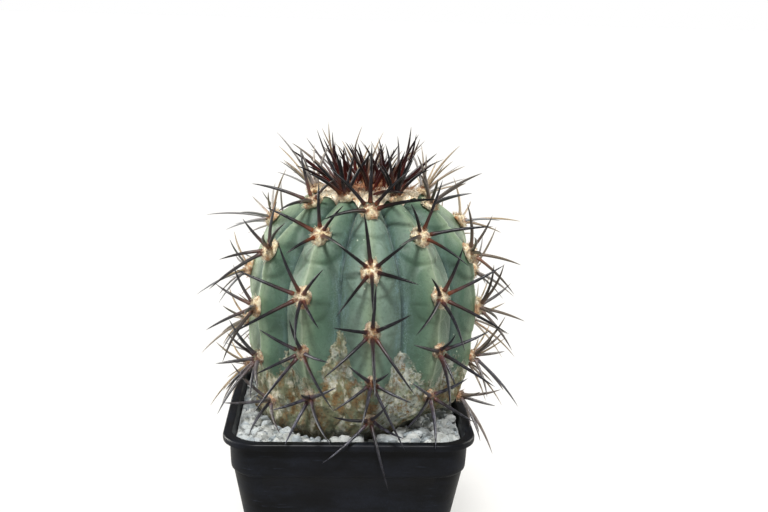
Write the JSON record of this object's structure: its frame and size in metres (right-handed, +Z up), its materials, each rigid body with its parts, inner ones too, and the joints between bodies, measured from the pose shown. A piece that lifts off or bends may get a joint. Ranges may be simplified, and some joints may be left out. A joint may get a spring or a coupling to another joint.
{
  "type": "copiapoa cactus",
  "caption": "Barrel-shaped grey-green cactus with broad ribs, felted areoles and dark radiating spines, in a tapered square black plastic nursery pot dressed with white pumice.",
  "frame": {"origin": "centre of the pot's flat underside, on the surface that it stands on", "axes": "+Z up through the pot and the plant, -Y the front that the picture shows, +X to its right"},
  "size_m": [0.1254, 0.1291, 0.1863],
  "materials": {
    "pot_plastic": "black injection-moulded plastic, softly glossy, dusty and scuffed round the collar",
    "potting_mix": "dark gritty cactus soil",
    "white_pumice": "rough white pumice chips with grey pits",
    "waxy_skin": "matt blue-green waxy skin with lighter rib crests, turning to corky tan bark at the foot",
    "spines": "hard dark horn, violet-grey to black, red-brown at the base, on pads of cream felt",
    "young_spines": "glossy dark red young spines with orange-brown bases over cream wool"
  },
  "bodies": {
    "root": {"pot": "pot_plastic", "soil": "potting_mix", "pumice": "white_pumice", "cactus_body": "waxy_skin", "crown": "young_spines", "areole_01_1": "spines", "areole_01_2": "spines", "areole_01_3": "spines", "areole_01_4": "spines", "areole_01_5": "spines", "areole_02_1": "spines", "areole_02_2": "spines", "areole_02_3": "spines", "areole_02_4": "spines", "areole_02_5": "spines", "areole_03_1": "spines", "areole_03_2": "spines", "areole_03_3": "spines", "areole_03_4": "spines", "areole_03_5": "spines", "areole_04_1": "spines", "areole_04_2": "spines", "areole_04_3": "spines", "areole_04_4": "spines", "areole_04_5": "spines", "areole_05_1": "spines", "areole_05_2": "spines", "areole_05_3": "spines", "areole_05_4": "spines", "areole_05_5": "spines", "areole_06_1": "spines", "areole_06_2": "spines", "areole_06_3": "spines", "areole_06_4": "spines", "areole_06_5": "spines", "areole_07_1": "spines", "areole_07_2": "spines", "areole_07_3": "spines", "areole_07_4": "spines", "areole_07_5": "spines", "areole_08_1": "spines", "areole_08_2": "spines", "areole_08_3": "spines", "areole_08_4": "spines", "areole_08_5": "spines", "areole_09_1": "spines", "areole_09_2": "spines", "areole_09_3": "spines", "areole_09_4": "spines", "areole_09_5": "spines", "areole_10_1": "spines", "areole_10_2": "spines", "areole_10_3": "spines", "areole_10_4": "spines", "areole_10_5": "spines", "areole_11_1": "spines", "areole_11_2": "spines", "areole_11_3": "spines", "areole_11_4": "spines", "areole_11_5": "spines"}
  },
  "joints": []
}
